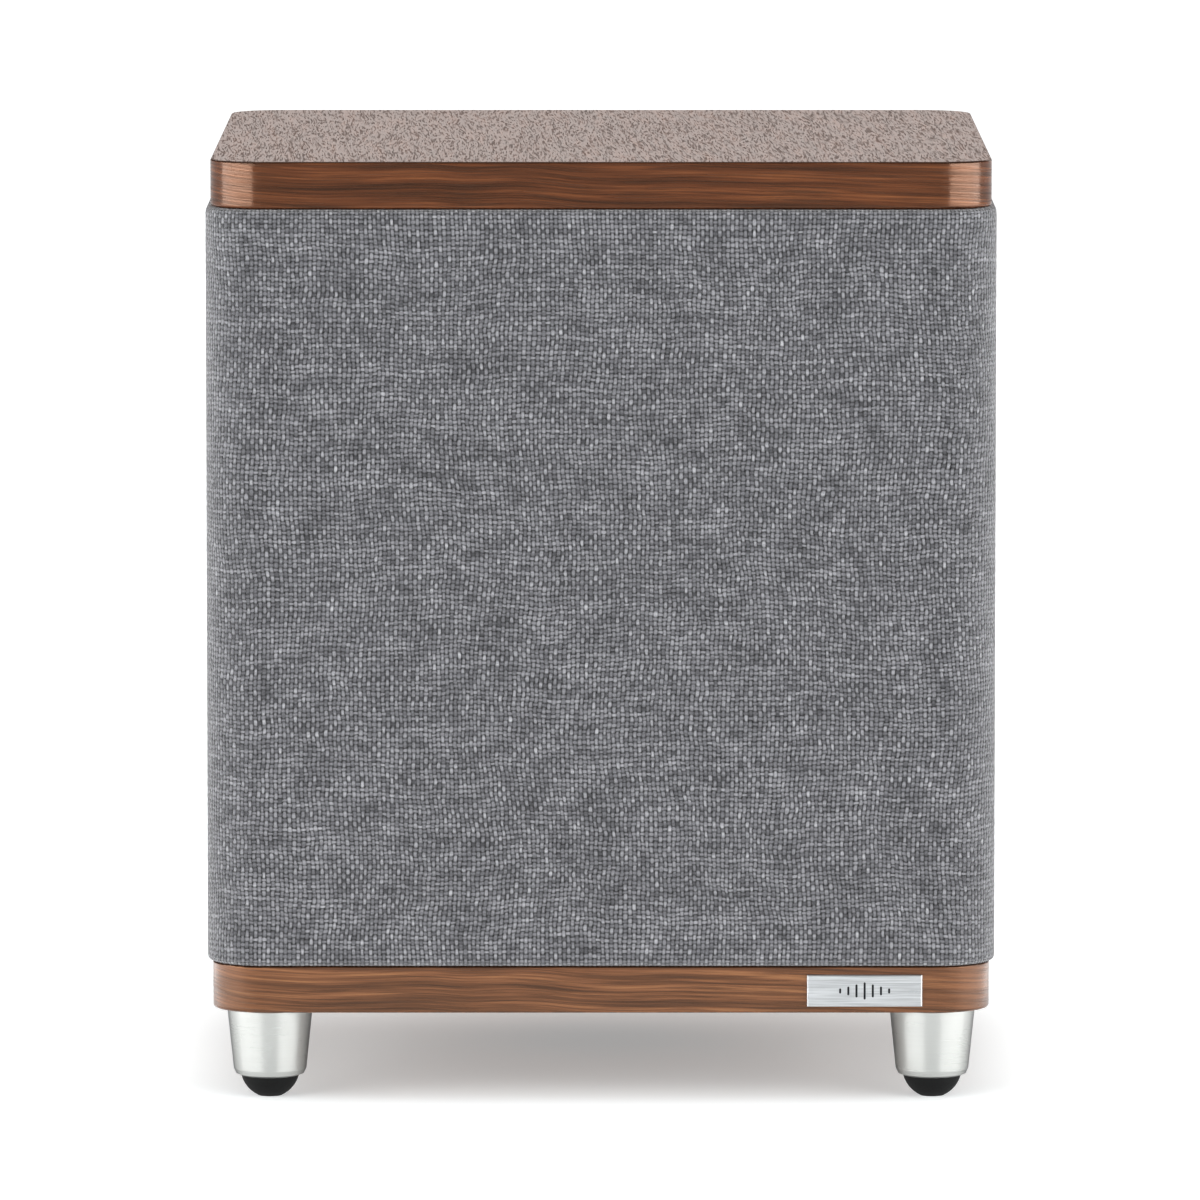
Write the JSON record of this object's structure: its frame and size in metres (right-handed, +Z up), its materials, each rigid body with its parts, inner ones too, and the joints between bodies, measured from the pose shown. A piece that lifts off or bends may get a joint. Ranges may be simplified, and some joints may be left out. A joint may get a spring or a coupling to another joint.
{
  "type": "subwoofer",
  "caption": "Compact active subwoofer: cloth-wrapped cabinet between two walnut boards with round corners, on tapered metal feet, with a removable grille and rear amplifier panel.",
  "frame": {"origin": "on the floor, under the middle of the bounding box", "axes": "+Z up; the driver, cloth front and badge face -Y; the amplifier faces +Y; +X is to the right seen from the front"},
  "size_m": [0.3, 0.3, 0.3585],
  "materials": {
    "walnut": "oiled walnut veneer, satin",
    "grille_fabric": "plain weave, melange grey",
    "black_plastic": "moulded, fine grain",
    "gloss_black_plastic": "moulded, glossy",
    "cabinet_board": "fibreboard, matte black paint",
    "wadding": "polyester wadding",
    "foot_metal": "turned, satin anodised",
    "badge_metal": "brushed, polished bevel",
    "rubber": "matte",
    "steel": "zinc plated",
    "black_screws": "black oxide",
    "basket_metal": "cast, black powder coat",
    "ferrite": "sintered ceramic magnet, matte",
    "cone_pulp": "coated paper pulp",
    "spider_cloth": "impregnated cloth",
    "former": "polyimide film",
    "copper": "enamelled copper wire",
    "plate_paint": "fine textured powder coat",
    "heat_sink_metal": "extruded, black anodised",
    "board": "glass-epoxy circuit board",
    "capacitor_sleeve": "shrunk sleeve",
    "winding": "taped steel core and copper winding",
    "nickel": "nickel plated",
    "phono_plastic": "one red and one white",
    "lamp": "diffused",
    "fuse_glass": "clear",
    "lead_sleeve": "insulated pair in one sleeve"
  },
  "bodies": {
    "cabinet": {"amp_board": "board", "amp_fasteners": "black_screws", "amp_gasket": "rubber", "amp_plate": "plate_paint", "badge": "badge_metal", "base_board": "walnut", "board_standoffs": "steel", "cabinet_brace": "cabinet_board", "capacitors": "capacitor_sleeve", "control_board": "board", "damping_pads": "wadding", "driver_basket": "basket_metal", "driver_front_plate": "steel", "driver_gasket": "rubber", "driver_magnet": "ferrite", "driver_screws": "black_screws", "driver_terminals": "black_plastic", "driver_yoke": "steel", "feet": "foot_metal", "foot_bolts": "steel", "foot_inserts": "steel", "foot_tips": "rubber", "front_baffle": "cabinet_board", "grille_sockets": "black_plastic", "heat_sink": "heat_sink_metal", "inlet_blades": "nickel", "left_panel": "cabinet_board", "mains_inlet": "black_plastic", "mains_transformer": "winding", "output_transistors": "black_plastic", "phono_barrels": "nickel", "phono_insulators": "phono_plastic", "port_tube": "black_plastic", "potentiometers": "steel", "rear_panel": "cabinet_board", "right_panel": "cabinet_board", "rocker_frame": "black_plastic", "speaker_lead": "lead_sleeve", "spider": "spider_cloth", "status_light": "lamp", "surround": "rubber", "switch_frames": "black_plastic", "tinsel_leads": "copper", "top_board": "walnut", "transformer_bolt": "steel"},
    "grille": {"grille_frame": "black_plastic", "grille_cloth": "grille_fabric"},
    "cone": {"cone": "cone_pulp", "dust_cap": "cone_pulp", "coil_former": "former", "voice_coil": "copper"},
    "volume": {"volume_knob": "black_plastic", "volume_shaft": "steel"},
    "crossover": {"crossover_knob": "black_plastic", "crossover_shaft": "steel"},
    "phase": {"phase_slider": "black_plastic"},
    "mode": {"mode_slider": "black_plastic"},
    "rocker": {"power_rocker": "gloss_black_plastic"},
    "drawer": {"fuse_drawer": "black_plastic", "fuse": "fuse_glass"}
  },
  "joints": [
    {"name": "grille_pull", "type": "slide", "parent": "cabinet", "child": "grille", "axis": [0, -1, 0], "range_m": [0, 0.3]},
    {"name": "cone_travel", "type": "slide", "parent": "cabinet", "child": "cone", "axis": [0, -1, 0], "range_m": [-0.008, 0.008], "stiffness_N_per_m": 2000, "deforming": ["surround", "spider", "tinsel_leads"]},
    {"name": "volume_turn", "type": "hinge", "parent": "cabinet", "child": "volume", "pos_m": [0.06, 0.132, 0.2045], "axis": [0, 1, 0], "range_deg": [-150, 150]},
    {"name": "crossover_turn", "type": "hinge", "parent": "cabinet", "child": "crossover", "pos_m": [0.014, 0.132, 0.2045], "axis": [0, 1, 0], "range_deg": [-150, 150]},
    {"name": "phase_slide", "type": "slide", "parent": "cabinet", "child": "phase", "axis": [-1, 0, 0], "range_m": [0, 0.004]},
    {"name": "mode_slide", "type": "slide", "parent": "cabinet", "child": "mode", "axis": [-1, 0, 0], "range_m": [-0.003, 0.003]},
    {"name": "power_rock", "type": "hinge", "parent": "cabinet", "child": "rocker", "pos_m": [-0.002, 0.132, 0.1145], "axis": [-1, 0, 0], "range_deg": [0, 20]},
    {"name": "fuse_drawer_slide", "type": "slide", "parent": "cabinet", "child": "drawer", "axis": [0, 1, 0], "range_m": [0, 0.016]}
  ]
}
